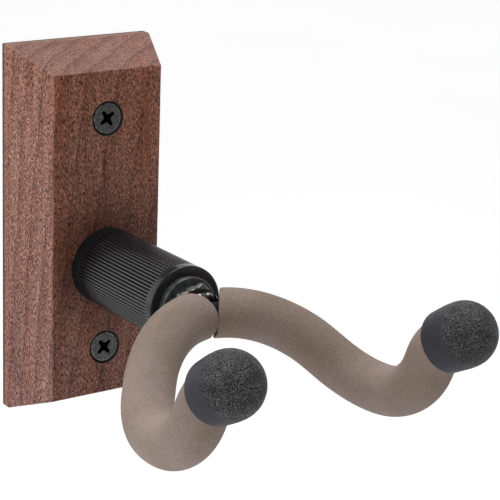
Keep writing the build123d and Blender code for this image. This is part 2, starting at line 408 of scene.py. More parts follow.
def add_floor():
    """A wide pale floor, well below the hanger."""
    corners = [(-1, -1), (1, -1), (1, 1), (-1, 1)]
    floor = new_object(
        "studio_floor",
        [Vector((x * FLOOR_HALF, y * FLOOR_HALF, FLOOR_HEIGHT)) for x, y in corners],
        [(0, 1, 2, 3)],
    )
    finish = Finish(
        "floor_paint", Roughness=0.9, Specular_IOR_Level=0.1, Emission_Strength=FLOOR_GLOW
    )
    tone = finish.noise(finish.place((1, 1, 1)), 3.0, 3.0)
    finish.set("Base Color", finish.mix(tone, (0.86, 0.86, 0.86), (0.9, 0.9, 0.9)))
    finish.set("Emission Color", finish.mix(tone, (0.98, 0.98, 0.98), (1.0, 1.0, 1.0)))
    paint(floor, finish)


def add_sky():
    """Soft light, of its own strength from each side. Behind the hanger it looks plain white."""
    world = bpy.data.worlds.new("studio")
    world.use_nodes = True
    tree = world.node_tree
    light = tree.nodes["Background"]
    direction = tree.nodes.new("ShaderNodeTexCoord").outputs["Generated"]
    total = None
    for axis, strength in SKY:
        towards = tree.nodes.new("ShaderNodeVectorMath")
        towards.operation = "DOT_PRODUCT"
        tree.links.new(direction, towards.inputs[0])
        towards.inputs[1].default_value = axis
        facing = tree.nodes.new("ShaderNodeMath")
        facing.operation = "MAXIMUM"
        tree.links.new(towards.outputs["Value"], facing.inputs[0])
        facing.inputs[1].default_value = 0
        lobe = tree.nodes.new("ShaderNodeMath")
        lobe.operation = "POWER"
        tree.links.new(facing.outputs[0], lobe.inputs[0])
        lobe.inputs[1].default_value = 2
        part = tree.nodes.new("ShaderNodeMath")
        part.operation = "MULTIPLY_ADD"
        tree.links.new(lobe.outputs[0], part.inputs[0])
        part.inputs[1].default_value = strength
        if total is None:
            part.inputs[2].default_value = 0
        else:
            tree.links.new(total, part.inputs[2])
        total = part.outputs[0]
    tree.links.new(total, light.inputs["Strength"])
    backdrop = tree.nodes.new("ShaderNodeBackground")
    seen = tree.nodes.new("ShaderNodeLightPath").outputs["Is Camera Ray"]
    choice = tree.nodes.new("ShaderNodeMixShader")
    tree.links.new(seen, choice.inputs[0])
    tree.links.new(light.outputs[0], choice.inputs[1])
    tree.links.new(backdrop.outputs[0], choice.inputs[2])
    tree.links.new(choice.outputs[0], tree.nodes["World Output"].inputs["Surface"])
    light.inputs["Color"].default_value = backdrop.inputs["Color"].default_value = (1, 1, 1, 1)
    bpy.context.scene.world = world


FLOOR_HALF = 6.0
FLOOR_HEIGHT = -0.75
FLOOR_GLOW = 0.36
# Light from each side: (direction it comes from, strength)
SKY = [((-1, 0, 0), 2.15), ((1, 0, 0), 0.75), ((0, -1, 0), 0.1), ((0, 1, 0), 1.7), ((0, 0, 1), 0.2)]
SOFTBOXES = [
    ("key", (-0.9, -0.5, 0.75), (0, -0.04, 0), (0.7, 0.7), 0.6),
    ("top", (0.15, 0.0, 1.0), (0, -0.05, 0), (0.8, 0.6), 12.0),
]
add_camera()
add_sky()
add_floor()
for softbox in SOFTBOXES:
    add_softbox(*softbox)
bpy.context.scene.view_settings.view_transform = "Standard"


# ======== Finishes ========
GRAIN_LEAN = (0, radians(3), 0)
PORE_LEAN = (radians(-12), radians(12.6), 0)
ACROSS_RINGS = (-0.55, 0.83, 0.08)
RINGS_PER_MM = 0.21
RING_WANDER = 6.0  # in millimetres


def walnut():
    """Oiled walnut with nearly upright fibres: growth rings, open pores, and edge wear with a
    painted highlight.
    """
    wood = Finish("walnut_oiled", Specular_IOR_Level=0.22)
    across_rings = wood.dot(wood.place((1000, 1000, 1000)), ACROSS_RINGS)
    wander = wood.noise(wood.place((45, 45, 14)), 1.0, 3.0, 0.55)
    ring = wood.math("MULTIPLY_ADD", wander, RING_WANDER, across_rings)
    ring = wood.math("FRACT", wood.math("MULTIPLY", ring, RINGS_PER_MM))
    late = wood.span(ring, 0.35, 0.93, 0.0, 0.45, smooth=True)
    late = wood.math("MULTIPLY", late, wood.span(ring, 1.0, 0.96))
    line = wood.math("MULTIPLY", wood.span(ring, 0.86, 0.93), wood.span(ring, 1.0, 0.96, 0.0, 0.55))
    late = wood.math("ADD", late, line)
    blotch = wood.noise(wood.place((120, 120, 14), turn=GRAIN_LEAN), 1.0, 3.0, 0.5)
    streak = wood.noise(wood.place((800, 800, 20), turn=GRAIN_LEAN), 1.0, 4.0, 0.6)
    tone = wood.math("MULTIPLY_ADD", blotch, 0.24, 0.295)
    tone = wood.math("MULTIPLY_ADD", streak, 0.40, tone)
    tone = wood.math("MULTIPLY_ADD", late, -0.17, tone)
    colour = wood.ramp(
        tone,
        [
            (0.36, (0.138, 0.056, 0.041)),
            (0.50, (0.210, 0.093, 0.068)),
            (0.60, (0.278, 0.130, 0.098)),
            (0.70, (0.335, 0.170, 0.134)),
            (0.82, (0.405, 0.224, 0.186)),
        ],
    )
    # Warm reddish veins
    vein = wood.noise(wood.place((200, 200, 9), shift=(0.031, 0.017, 0)), 1.0, 3.0, 0.5, 0.6)
    vein = wood.span(vein, 0.52, 0.74, smooth=True)
    colour = wood.mix(wood.math("MULTIPLY", vein, 0.5), colour, (0.30, 0.098, 0.050))
    # The front face is darker than the bevels, and has painted shade round the collar. The foot is
    # greyer and the upper right is redder
    spot = wood.add("ShaderNodeSeparateXYZ", Vector=wood.object_place)
    depth = wood.math("MULTIPLY", spot.outputs["Y"], -1.0)
    front_face = wood.span(depth, BLOCK_DEPTH - 0.35 * MM, BLOCK_DEPTH - 0.1 * MM)
    colour = wood.mix(front_face, colour, (0.79, 0.70, 0.61), "MULTIPLY")
    # Painted shade on the front face round the collar
    painted_collar_shade = wood.span(wood.away_from((0, SWIVEL_Z)), 25 * MM, 11 * MM, smooth=True)
    painted_collar_shade = wood.math("MULTIPLY", painted_collar_shade, front_face)
    colour = wood.mix(painted_collar_shade, colour, (0.57, 0.51, 0.47), "MULTIPLY")
    foot = wood.span(spot.outputs["Z"], 0.0, -38 * MM, smooth=True)
    colour = wood.mix(foot, colour, (0.86, 0.88, 0.95), "MULTIPLY")
    warm = wood.span(wood.dot(wood.object_place, (0.6, 0, 0.8)), 5 * MM, 32 * MM, smooth=True)
    colour = wood.mix(warm, colour, (1.0, 0.91, 0.82), "MULTIPLY")
    # The thin square sides are redder, and the edge against the wall is nearly black
    side = wood.math("ABSOLUTE", spot.outputs["X"])
    side = wood.span(side, BLOCK_HALF_WIDTH - 0.3 * MM, BLOCK_HALF_WIDTH - 0.1 * MM)
    colour = wood.mix(wood.math("MULTIPLY", side, 0.7), colour, (0.25, 0.100, 0.066))
    wall_edge = wood.span(depth, 1.25 * MM, 0.85 * MM)
    colour = wood.mix(wood.math("MULTIPLY", wall_edge, 0.8), colour, (0.035, 0.018, 0.012))
    # Open pores: short dark dashes, with silvery flecks between them
    density = wood.noise(wood.place((420, 420, 60)), 1.0, 2.0)
    pore = wood.noise(wood.place((4400, 4400, 620), PORE_LEAN), 1.0, 1.5, 0.5)
    pores = wood.span(wood.math("MULTIPLY_ADD", density, 0.10, pore), 0.55, 0.65, smooth=True)
    fine = wood.noise(wood.place((6200, 6200, 1300), PORE_LEAN, (0.01, 0.02, 0.03)), 1.0, 1.5, 0.5)
    fine = wood.span(fine, 0.49, 0.64, smooth=True)
    fleck = wood.noise(wood.place((4300, 4300, 800), PORE_LEAN, (0.03, 0.01, 0.02)), 1.0, 1.5)
    fleck = wood.span(fleck, 0.50, 0.66)
    colour = wood.mix(wood.math("MULTIPLY", fleck, 0.85), colour, (2.3, 2.6, 2.8), "MULTIPLY")
    colour = wood.mix(wood.math("MULTIPLY", fine, 0.7), colour, (0.28, 0.25, 0.25), "MULTIPLY")
    colour = wood.mix(wood.math("MULTIPLY", pores, 0.85), colour, (0.13, 0.12, 0.12), "MULTIPLY")
    # End grain soaks up more oil, so the top and bottom are darker
    facing = wood.add("ShaderNodeVectorMath", {"operation": "ABSOLUTE"})
    wood.give(facing.inputs[0], wood.add("ShaderNodeTexCoord").outputs["Normal"])
    end_grain = wood.span(wood.dot(facing.outputs[0], (0, 0, 1)), 0.6, 0.85)
    colour = wood.mix(end_grain, colour, (0.74, 0.80, 0.86), "MULTIPLY")
    # Edge wear with a painted highlight: pale where the surface faces between the block's flat
    # faces
    flat = 0.0
    side_rise = BLOCK_DEPTH - SIDE_STRIP
    bevels = [(side_rise, BEVEL_X, 0), (0, BEVEL_Z, side_rise)]
    for face in [(1, 0, 0), (0, 1, 0), (0, 0, 1), *bevels]:
        flat = wood.math("MAXIMUM", wood.dot(facing.outputs[0], Vector(face).normalized()), flat)
    rub = wood.noise(wood.place((300, 300, 120)), 1.0, 3.0, 0.6)
    worn_and_highlit_edge = wood.math("MULTIPLY", wood.span(flat, 0.9985, 0.985), wood.span(rub, 0.34, 0.62))
    worn_and_highlit_edge = wood.math("MULTIPLY", worn_and_highlit_edge, wood.math("SUBTRACT", 1.0, wall_edge))
    colour = wood.mix(wood.math("MULTIPLY", worn_and_highlit_edge, 0.4), colour, (0.40, 0.25, 0.20))
    # Painted shade: the countersinks are painted nearly black inside their mouths
    for height in SCREW_HEIGHTS:
        countersink_shade = wood.span(wood.away_from((0, height)), SINK_MOUTH_R + 0.15 * MM, SINK_MOUTH_R)
        colour = wood.mix(wood.math("MULTIPLY", countersink_shade, 0.97), colour, (0.003, 0.002, 0.002))
    wood.set("Base Color", colour)
    rough = wood.math("MULTIPLY_ADD", pores, 0.2, wood.span(streak, 0.3, 0.7, 0.50, 0.62))
    wood.set("Roughness", rough)
    wood.bump(
        (wood.math("SUBTRACT", 1.0, pores), 0.6, 0.10),
        (wood.math("SUBTRACT", 1.0, fine), 0.4, 0.05),
        (streak, 0.25, 0.06),
    )
    return wood


def foam():
    """Closed-cell foam with a smooth matt skin."""
    skin = Finish("foam_skin", Specular_IOR_Level=0.08)
    cloud = skin.noise(skin.place((85, 85, 85)), 1.0, 3.0, 0.6)
    grain = skin.noise(skin.place((3000, 3000, 3000)), 1.0, 2.5, 0.6)
    colour = skin.ramp(
        cloud,
        [(0.3, (0.158, 0.119, 0.093)), (0.5, (0.173, 0.134, 0.111)), (0.7, (0.188, 0.146, 0.130))],
    )
    pale = skin.span(grain, 0.48, 0.72, 0.0, 0.5)
    dark = skin.span(grain, 0.50, 0.28, 0.0, 0.5)
    colour = skin.mix(pale, colour, (1.7, 1.75, 1.8), "MULTIPLY")
    colour = skin.mix(dark, colour, (0.60, 0.57, 0.55), "MULTIPLY")
    # Painted light: the foam is painted paler round the low bends, the left one most
    spot = skin.add("ShaderNodeSeparateXYZ", Vector=skin.object_place)
    low = skin.span(spot.outputs["Z"], -17 * MM, -30 * MM)
    colour = skin.mix(low, colour, (1.10, 1.11, 1.18), "MULTIPLY")
    left = skin.span(spot.outputs["X"], 0, -9 * MM)
    low_left_painted_light = skin.math("MULTIPLY", skin.span(spot.outputs["Z"], -8 * MM, -24 * MM), left)
    colour = skin.mix(low_left_painted_light, colour, (1.22, 1.24, 1.26), "MULTIPLY")
    cell = skin.cells(skin.place((2600, 2600, 2600)))
    skin.set("Base Color", colour)
    skin.set("Roughness", skin.span(grain, 0.3, 0.7, 0.72, 0.9))
    skin.bump((grain, 0.30, 0.14), (cell, 0.15, 0.08))
    return skin


def cap_rubber(side, skirt_direction, skirt_from):
    """Charcoal moulded rubber: pebbled on the dome, plain on the skirt along the arm."""
    rubber = Finish(side + "_cap_rubber", Specular_IOR_Level=0.14)
    along = rubber.math("SUBTRACT", rubber.dot(rubber.object_place, skirt_direction), skirt_from)
    edge = rubber.noise(rubber.place((260, 260, 260)), 1.0, 2.0)
    along = rubber.math("MULTIPLY_ADD", edge, 2.0 * MM, along)
    dome = rubber.span(along, -0.4 * MM, 2.6 * MM, smooth=True)
    tip = rubber.span(along, 2.0 * MM, 7.0 * MM, smooth=True)
    grit = rubber.noise(rubber.place((4800, 4800, 4800)), 1.0, 1.5, 0.6)
    pebble = rubber.cells(rubber.place((2600, 2600, 2600)))
    cloud = rubber.noise(rubber.place((170, 170, 170)), 1.0, 2.0)
    skirt = rubber.mix(cloud, (0.012, 0.0115, 0.0165), (0.020, 0.019, 0.026))
    top = rubber.mix(cloud, (0.004, 0.004, 0.004), (0.012, 0.012, 0.012))
    top = rubber.mix(tip, top, rubber.mix(cloud, (0.009, 0.009, 0.009), (0.022, 0.022, 0.022)))
    # Pale specks on the dome, partly rubbed rubber and partly painted glints
    patch = rubber.noise(rubber.place((330, 330, 330)), 1.0, 2.0)
    patch = rubber.span(patch, 0.36, 0.60, 0.50, 1.0)
    rubbed_specks_and_glints = rubber.math("MULTIPLY", rubber.span(grit, 0.50, 0.64), patch)
    top = rubber.mix(rubbed_specks_and_glints, top, (0.16, 0.16, 0.164))
    top = rubber.mix(rubber.span(grit, 0.49, 0.42, 0.0, 0.95), top, (0.002, 0.002, 0.002))
    skirt = rubber.mix(rubber.span(grit, 0.50, 0.66, 0.0, 0.55), skirt, (0.055, 0.053, 0.063))
    rubber.set("Base Color", rubber.mix(dome, skirt, top))
    rubber.set("Roughness", rubber.span(grit, 0.3, 0.7, 0.48, 0.72))
    height = rubber.math("ADD", grit, pebble)
    height = rubber.math("MULTIPLY", height, rubber.math("MULTIPLY_ADD", dome, 0.8, 0.2))
    rubber.bump((height, 0.5, 0.16))
    return rubber


def collar_plastic():
    """Black plastic, polished shiny on the ribs' crests, with painted shade between them and by the
    block.
    """
    plastic = Finish("collar_black_plastic")
    away = plastic.away_from((0, SWIVEL_Z))
    outer = plastic.span(away, COLLAR_R - 0.24 * MM, COLLAR_R - 0.04 * MM, smooth=True)
    depth = plastic.add("ShaderNodeSeparateXYZ", Vector=plastic.object_place).outputs["Y"]
    ribs_from = BLOCK_DEPTH + BACK_BAND
    # Painted shade by the block: the crests fade dark towards it
    clear = plastic.span(depth, -ribs_from + 0.5 * MM, -ribs_from - 5.0 * MM, smooth=True)
    crest = plastic.math("MULTIPLY", outer, plastic.math("MULTIPLY_ADD", clear, 0.75, 0.25))
    front_band = plastic.span(depth, -COLLAR_FRONT + 1.9 * MM, -COLLAR_FRONT + 1.6 * MM)
    crest = plastic.math("MAXIMUM", crest, front_band)
    smear = plastic.noise(plastic.place((220, 60, 220)), 1.0, 4.0, 0.6)
    dust = plastic.noise(plastic.place((4200, 1800, 4200)), 1.0, 3.0, 0.65)
    colour = plastic.mix(smear, (0.008, 0.008, 0.0092), (0.016, 0.016, 0.0185))
    # Painted shade: nearly black between the ribs and by the block
    colour = plastic.mix(crest, (0.0012, 0.0012, 0.0013), colour)
    colour = plastic.mix(plastic.span(dust, 0.60, 0.80, 0.0, 0.3), colour, (0.06, 0.06, 0.063))
    plastic.set("Base Color", colour)
    band_from = COLLAR_FRONT - FRONT_BAND
    band = plastic.span(depth, -band_from, -band_from - 0.5 * MM)
    dull = plastic.math("MULTIPLY", outer, band)
    shine = plastic.math("MULTIPLY_ADD", crest, 0.42, 0.04)
    plastic.set("Specular IOR Level", plastic.math("MULTIPLY_ADD", dull, -0.2, shine))
    rough = plastic.span(smear, 0.3, 0.7, 0.20, 0.34)
    rough = plastic.math("MULTIPLY_ADD", front_band, -0.08, rough)
    plastic.set("Roughness", plastic.math("ADD", rough, plastic.span(crest, 0.5, 0.0, 0.0, 0.6)))
    plastic.bump((dust, 0.12, 0.05))
    return plastic


BLACK_STEEL_METALLIC = 0.55


def black_steel(name, base, lighter, rough, coarse, recesses=()):
    """Blackened steel with a mottled oxide; at these heights a painted highlight round each head's
    rim, and dirt with painted shade in the driver recesses.
    """
    steel = Finish(name, Metallic=BLACK_STEEL_METALLIC, Specular_IOR_Level=0.5)
    mottle = steel.noise(steel.place((coarse, coarse, coarse)), 1.0, 4.0, 0.65, 0.3)
    fine = steel.noise(steel.place((5200, 5200, 5200)), 1.0, 2.0, 0.6)
    halfway = tuple((a + b) / 2 for a, b in zip(base, lighter))
    colour = steel.ramp(mottle, [(0.34, base), (0.52, halfway), (0.7, lighter)])
    fleck = steel.span(fine, 0.58, 0.75, 0.0, 0.4)
    colour = steel.mix(fleck, colour, tuple(1.8 * c for c in lighter))
    out = steel.add("ShaderNodeSeparateXYZ", Vector=steel.object_place).outputs["Y"]
    dirt_and_shade = 0.0
    for height in recesses:
        away = steel.away_from((0, height))
        # Painted highlight: a paler, mottled ring round the head's rim
        rim = steel.span(away, 3.72 * MM, 3.95 * MM)
        rim = steel.math("MULTIPLY", rim, steel.span(away, 4.5 * MM, 4.3 * MM))
        rim = steel.math("MULTIPLY", rim, steel.span(mottle, 0.38, 0.60))
        colour = steel.mix(rim, colour, (0.20, 0.20, 0.20))
        # Dirt and painted shade: the driver recess is painted nearly black
        inside = steel.span(away, 2.75 * MM, 2.65 * MM)
        below = steel.span(out, 0.06 * MM - SCREW_FRONT, 0.24 * MM - SCREW_FRONT)
        above = steel.span(out, 2.5 * MM - SCREW_FRONT, 2.4 * MM - SCREW_FRONT)
        inside = steel.math("MULTIPLY", inside, steel.math("MULTIPLY", below, above))
        colour = steel.mix(inside, colour, (0.0015, 0.0015, 0.0015))
        dirt_and_shade = steel.math("MAXIMUM", dirt_and_shade, inside)
    if recesses:
        free_of_dirt_and_shade = steel.math("SUBTRACT", 1.0, dirt_and_shade)
        steel.set("Metallic", steel.math("MULTIPLY", free_of_dirt_and_shade, BLACK_STEEL_METALLIC))
        steel.set("Specular IOR Level", steel.math("MULTIPLY", free_of_dirt_and_shade, 0.5))
    steel.set("Base Color", colour)
    roughness = steel.span(mottle, 0.3, 0.7, rough, rough + 0.16)
    if recesses:
        roughness = steel.math("MAXIMUM", roughness, steel.math("MULTIPLY", dirt_and_shade, 0.9))
    steel.set("Roughness", roughness)
    steel.bump((mottle, 0.14, 0.08), (fine, 0.10, 0.03))
    return steel


def black_enamel(name, **gloss):
    """Thick black enamel with a faint orange peel."""
    enamel = Finish(name, **gloss)
    peel = enamel.noise(enamel.place((700, 700, 700)), 1.0, 2.0, 0.5)
    tint = enamel.noise(enamel.place((240, 240, 240)), 1.0, 2.0, 0.5)
    enamel.set("Base Color", enamel.mix(tint, (0.006, 0.006, 0.007), (0.016, 0.016, 0.018)))
    enamel.bump((peel, 0.18, 0.15))
    return enamel


def zinc():
    """Zinc plating: bright, faintly yellow and blue in patches, finely brushed."""
    plate = Finish("zinc_plating", Metallic=1.0)
    patch = plate.noise(plate.place((260, 260, 260)), 1.0, 3.0, 0.6)
    brushing = plate.noise(plate.place((2600, 500, 2600)), 1.0, 3.0, 0.6)
    colour = plate.ramp(
        patch,
        [(0.3, (0.60, 0.62, 0.66)), (0.5, (0.70, 0.70, 0.70)), (0.72, (0.74, 0.71, 0.60))],
    )
    scratched = plate.span(brushing, 0.3, 0.75, 0.0, 0.3)
    plate.set("Base Color", plate.mix(scratched, colour, (0.42, 0.42, 0.43)))
    plate.set("Roughness", plate.span(brushing, 0.3, 0.7, 0.26, 0.46))
    plate.bump((brushing, 0.12, 0.04))
    return plate


def nylon(name, pale, dark, rough):
    """Moulded nylon, slightly translucent."""
    moulded = Finish(name, Specular_IOR_Level=0.45, Subsurface_Weight=0.15, Subsurface_Scale=0.002)
    cloud = moulded.noise(moulded.place((300, 300, 300)), 1.0, 3.0, 0.6)
    fine = moulded.noise(moulded.place((3200, 3200, 3200)), 1.0, 2.0, 0.6)
    moulded.set("Base Color", moulded.mix(cloud, dark, pale))
    moulded.set("Roughness", moulded.span(fine, 0.3, 0.7, rough, rough + 0.14))
    moulded.bump((fine, 0.1, 0.05))
    return moulded


walnut_finish = walnut()
foam_finish = foam()
collar_finish = collar_plastic()
screw_finish = black_steel(
    "screw_black_oxide", (0.018, 0.018, 0.019), (0.090, 0.089, 0.087), 0.32, 1300, SCREW_HEIGHTS
)
washer_finish = black_steel(
    "washer_black_oxide", (0.032, 0.036, 0.036), (0.105, 0.110, 0.110), 0.36, 620
)
enamel_finish = black_enamel(
    "gloss_black_enamel", Roughness=0.16, Coat_Weight=1.0, Coat_Roughness=0.04
)
rod_finish = black_enamel("rod_black_enamel", Roughness=0.5, Specular_IOR_Level=0.03)
zinc_finish = zinc()
bush_finish = nylon("bush_nylon", (0.80, 0.79, 0.74), (0.66, 0.65, 0.58), 0.36)
insert_finish = nylon("insert_nylon", (0.55, 0.62, 0.74), (0.40, 0.48, 0.62), 0.3)

for node, finish in {
    "base_block": walnut_finish,
    "front_bushing": bush_finish,
    "rear_bushing": bush_finish,
    "hub_washer": washer_finish,
    "yoke_rod": rod_finish,
    "thrust_washer": zinc_finish,
    "spring_washer": zinc_finish,
    "nut_washer": zinc_finish,
    "lock_nut": zinc_finish,
    "lock_nut_insert": insert_finish,
}.items():
    paint(nodes[node], finish)


# ======== Collar: fine rounded ribs between two plain bands ========
COLLAR_SIDE_R = 10.5
COLLAR_RIBBED_R = 10.4  # points further out than this are on the collar's side
COLLAR_BORE_R = 5.5
SPIGOT_R = 7.5
FLANGE_SEAT_R = 7.0
FLANGE_SEAT_DEPTH = 1.5
RUN_OUT_ROW = 0.14  # between rows where the ribs run out
RIB_ROW = 2.6  # between rows along the ribs


def collar():
    front, block, pocket = COLLAR_FRONT / MM, BLOCK_DEPTH / MM + 0.02, POCKET_DEPTH / MM
    seat = front - FLANGE_SEAT_DEPTH
    outline = profile(
        [
            (COLLAR_BORE_R, pocket), (SPIGOT_R, pocket), (SPIGOT_R, block), (COLLAR_SIDE_R, block),
            (COLLAR_SIDE_R, front), (FLANGE_SEAT_R, front), (FLANGE_SEAT_R, seat),
            (COLLAR_BORE_R, seat), (COLLAR_BORE_R, pocket),
        ],
        [0, 0, 0, 0.30, 0.12, 0, 0],
        0.08,
    )[:-1]
    # Close rows along the ribs, closest where they run out
    ribs_from = BLOCK_DEPTH + BACK_BAND
    ribs_to = COLLAR_FRONT - FRONT_BAND
    side = next(i for i, p in enumerate(outline) if p.x > COLLAR_RIBBED_R * MM) + 1
    rows = [ribs_from - RIB_RUN_OUT + i * RUN_OUT_ROW * MM for i in range(11)]
    rows += [ribs_from + (0.9 + RIB_ROW * i) * MM for i in range(1, 12)]
    rows += [ribs_to + RIB_RUN_OUT - i * RUN_OUT_ROW * MM for i in range(10, -1, -1)]
    outline[side:side] = [Vector((COLLAR_SIDE_R * MM, along, 0)) for along in sorted(rows)]

    def ribbed(radius, angle, along):
        if radius < COLLAR_RIBBED_R * MM:
            return radius
        rise = smooth_step(ribs_from - RIB_RUN_OUT, ribs_from + RIB_RUN_OUT, along)
        fall = smooth_step(ribs_to + RIB_RUN_OUT, ribs_to - RIB_RUN_OUT, along)
        crest = abs(cos(angle * RIB_COUNT / 2)) ** 0.8
        return radius - RIB_DEPTH * (1 - crest) * min(rise, fall)

    rings = turned_rings(outline, out_of_wall(SWIVEL_Z), RIB_COUNT * 12, ribbed)
    piece = rings_object("ribbed_collar", rings, loop=True)
    sharpen(piece, 50)
    paint(piece, collar_finish)
    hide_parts("swivel_collar")
    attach(piece, "wall_base")


collar()


# ======== Wall screws ========
SCREW_HEAD_R = 4.1
SCREW_RIM = 0.45
SCREW_CONE = tan(radians(41))
SCREW_NECK_R = 2.15
SCREW_CREST_R = 2.05
SCREW_ROOT_R = 1.45
SCREW_PITCH = 1.7
SCREW_THREAD = 21.5
SCREW_POINT = 4.0
CROSS_DEPTH = 2.2
CROSS_ARM = 2.45
CROSS_BLUNT = 5  # rounds the arms' ends
# Outlines down the cross: (height above the head's top, flare at the mouth, depth for the taper)
CROSS_RINGS = [
    (0.3, 1.07, 0),
    (0.0, 1.07, 0),
    (-0.09, 1.0, 0),
    (-1.0, 1.0, 1.0),
    (-CROSS_DEPTH, 1.0, CROSS_DEPTH),
]
CROSS_TURN = {"upper": 36, "lower": 40}


def screw_cross(turn, place, top):
    """The driver recess to cut away: a cross with rounded arm ends, narrower towards its floor."""
    rings = []
    for rise, flare, drop in CROSS_RINGS:
        arm_reach = (CROSS_ARM - 0.5 * drop) * flare
        arm_half = (0.56 - 0.05 * drop) * flare
        core = (1.05 - 0.15 * drop) * flare
        ring = []
        for k in range(96):
            angle = 2 * pi * k / 96
            reach = core
            for bar in (0, pi / 2):
                along, aside = abs(cos(angle - bar)), abs(sin(angle - bar))
                arm = (along / arm_reach) ** CROSS_BLUNT + (aside / arm_half) ** CROSS_BLUNT
                arm = arm ** (-1 / CROSS_BLUNT)
                reach = (reach**6 + arm**6) ** (1 / 6)
            ring.append(Vector((reach * cos(angle), reach * sin(angle), top / MM + rise)) * MM)
        rings.append([place @ (Matrix.Rotation(turn, 4, "Z") @ point) for point in ring])
    return rings_object("cross_cutter", rings)


def wall_screw(side):
    node = side + "_wall_screw"
    low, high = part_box(node)
    height = (low.z + high.z) / 2
    top, tip = -low.y / MM, -high.y / MM
    place = out_of_wall(height)
    cone_end = top - SCREW_RIM - (SCREW_HEAD_R - SCREW_NECK_R) / SCREW_CONE
    head = profile(
        [
            (0.4, top), (SCREW_HEAD_R, top), (SCREW_HEAD_R, top - SCREW_RIM),
            (SCREW_NECK_R, cone_end), (SCREW_NECK_R, 0),
        ],
        [0.15, 0.1, 0.5],
        0.06,
    )
    rows = 24 * round(SCREW_THREAD / SCREW_PITCH)
    thread_top = tip + SCREW_POINT + SCREW_THREAD
    shank = [Vector((SCREW_NECK_R, -0.1, 0)) * MM, Vector((SCREW_CREST_R, -0.25, 0)) * MM]
    threaded = [
        Vector((SCREW_CREST_R, thread_top - (thread_top - tip - 0.25) * i / rows, 0)) * MM
        for i in range(rows + 1)
    ]

    def threaded_radius(radius, angle, along):
        along /= MM
        if along > thread_top:
            return radius
        taper = min(1.0, max(0.06, (along - tip) / SCREW_POINT))
        root = SCREW_ROOT_R * taper
        turn = (along / SCREW_PITCH - angle / (2 * pi)) % 1
        ridge = max(0.0, 1 - abs(turn - 0.5) / 0.30)
        begin = smooth_step(thread_top, thread_top - 1.5, along)
        crest = SCREW_CREST_R * min(1.0, taper * 1.15)
        thread = root + (crest - root) * ridge
        return (SCREW_CREST_R + (thread - SCREW_CREST_R) * begin) * MM

    rings = turned_rings(head + shank + threaded, place, 48, threaded_radius)
    piece = rings_object(node + "_threaded", rings)
    cutter = screw_cross(radians(CROSS_TURN[side]), place, top * MM)
    recess = piece.modifiers.new("recess", "BOOLEAN")
    recess.operation = "DIFFERENCE"
    recess.solver = "EXACT"
    recess.object = cutter
    applied(piece)
    bpy.data.objects.remove(cutter)
    sharpen(piece, 32)
    paint(piece, screw_finish)
    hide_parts(node)
    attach(piece, "wall_base")


for side in ("upper", "lower"):
    wall_screw(side)


# ======== Swivel bolt: a painted hex head and a threaded end for the lock nut ========
BOLT_R = 3.97
HEAD_APOTHEM = 6.35
HEAD_FACE_R = 6.15
HEAD_TURN = radians(14)
HEAD_SHARPNESS = 46  # higher is a sharper hexagon
BOLT_PITCH = 1.41
BOLT_THREAD = 9.0
BOLT_GROOVE = 0.62


def bolt():
    front, back, end = BOLT_HEAD_FRONT / MM, HUB_WASHER_FRONT / MM, BOLT_END / MM
    chamfer = tan(radians(30))

    def hexagon(angle):
        flats = [max(0.0, cos(angle - HEAD_TURN - radians(60 * k + 30))) for k in range(6)]
        return HEAD_APOTHEM * sum(flat**HEAD_SHARPNESS for flat in flats) ** (-1 / HEAD_SHARPNESS)

    count = 144
    rings = []
    place = out_of_wall(SWIVEL_Z)

    def ring(radius, depth):
        points = []
        for k in range(count):
            angle = 2 * pi * k / count
            r = radius(angle) if callable(radius) else radius
            d = depth(angle) if callable(depth) else depth
            points.append(place @ (Vector((r * cos(angle), r * sin(angle), d)) * MM))
        rings.append(points)

    def corner(angle):
        return front - max(0.0, hexagon(angle) - HEAD_FACE_R) * chamfer

    ring(0.6, front)
    ring(3.0, front)
    ring(HEAD_FACE_R - 0.30, front)
    ring(HEAD_FACE_R - 0.10, front - 0.02)
    for share in (0.2, 0.8):
        ring(
            lambda a: HEAD_FACE_R + (hexagon(a) - HEAD_FACE_R) * share,
            lambda a: corner(a) * share + (front - 0.05) * (1 - share),
        )
    ring(lambda a: hexagon(a) - 0.06, lambda a: corner(a) - 0.03)
    ring(hexagon, lambda a: corner(a) - 0.16)
    ring(hexagon, back + 0.16)
    ring(lambda a: hexagon(a) - 0.12, back + 0.02)
    ring(BOLT_R + 0.3, back)
    ring(BOLT_R, back - 0.3)
    thread_top = end + BOLT_THREAD
    ring(BOLT_R, thread_top + 0.5)
    rows = 110
    for i in range(rows + 1):
        along = thread_top - (thread_top - end - 0.5) * i / rows

        def thread(angle, along=along):
            turn = (along / BOLT_PITCH - angle / (2 * pi)) % 1
            groove = 1 - abs(2 * turn - 1)
            return BOLT_R - BOLT_GROOVE * groove * smooth_step(thread_top, thread_top - 1.4, along)

        ring(thread, along)
    ring(BOLT_R - 0.75, end)
    piece = rings_object("swivel_bolt_painted", rings)
    sharpen(piece, 40)
    paint(piece, enamel_finish)
    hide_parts("swivel_bolt")
    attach(piece, "yoke")


bolt()


# ======== Welds: rippled beads above and below the rod ========
WELD_R = 1.9 * MM
WELD_RISE = 3.3 * MM
WELD_RIPPLE = 1.3 * MM
WELD_STRAIGHT_HALF = 2.5 * MM


